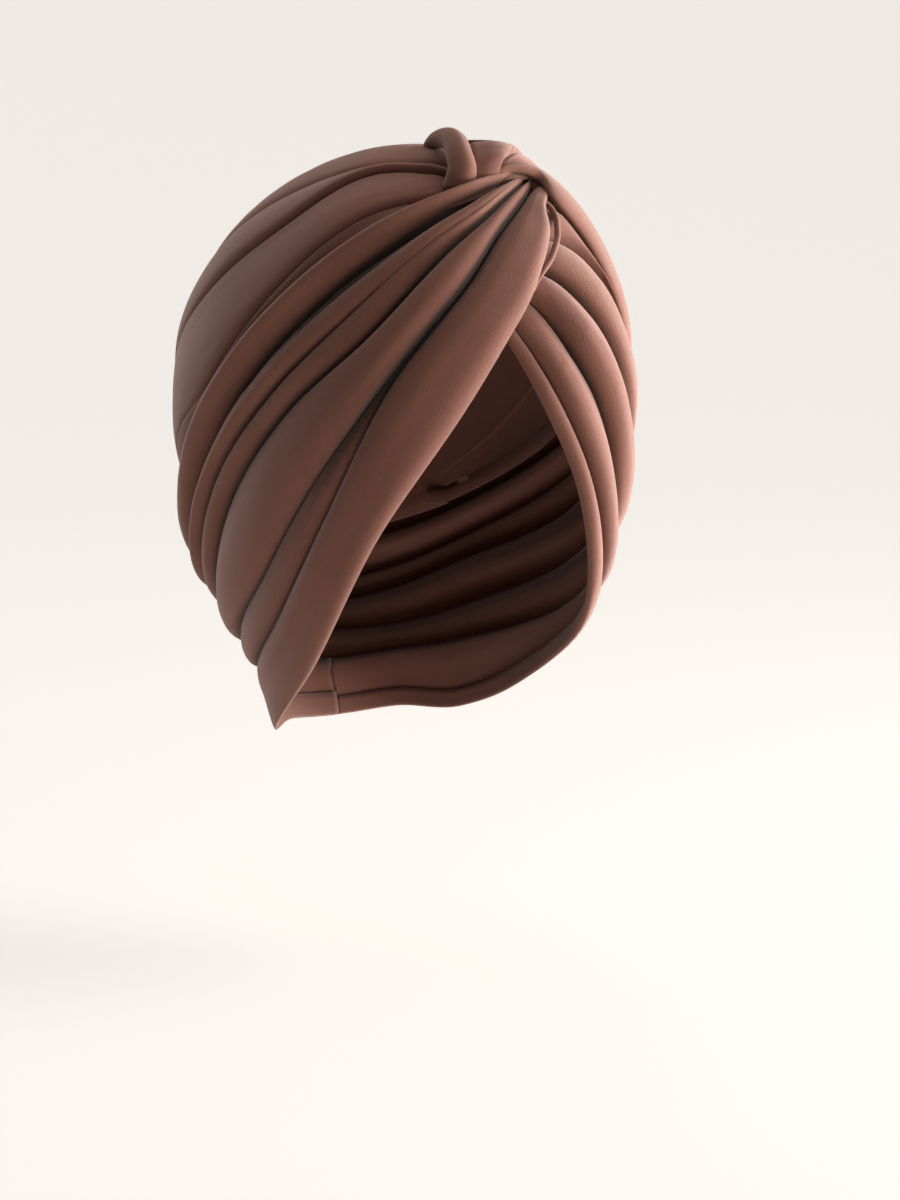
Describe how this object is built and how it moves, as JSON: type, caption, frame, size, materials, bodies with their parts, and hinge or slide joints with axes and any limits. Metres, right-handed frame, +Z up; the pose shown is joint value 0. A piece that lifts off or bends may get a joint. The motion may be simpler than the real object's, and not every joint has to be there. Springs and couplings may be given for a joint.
{
  "type": "turban headwrap",
  "caption": "Soft jersey turban headwrap, pleated to a twist at the front of the crown, wraps crossing over the forehead and meeting at the nape, shown in its worn shape.",
  "frame": {"origin": "inside top of the crown, where the wrap sits on the head", "axes": "the face looks toward -Y, the wearer's left is +X, up is +Z"},
  "size_m": [0.1871, 0.2086, 0.2619],
  "materials": {
    "right_wrap": "mauve-brown brushed jersey, matte",
    "left_wrap": "mauve-brown brushed jersey, matte",
    "long_fold": "mauve-brown brushed jersey, matte",
    "right_crown": "mauve-brown brushed jersey, matte",
    "left_crown": "mauve-brown brushed jersey, matte",
    "knot_loop": "mauve-brown brushed jersey, matte"
  },
  "bodies": {
    "root": {"right_wrap": "right_wrap", "left_wrap": "left_wrap", "long_fold": "long_fold", "right_crown": "right_crown", "left_crown": "left_crown", "knot_loop": "knot_loop"}
  },
  "joints": []
}
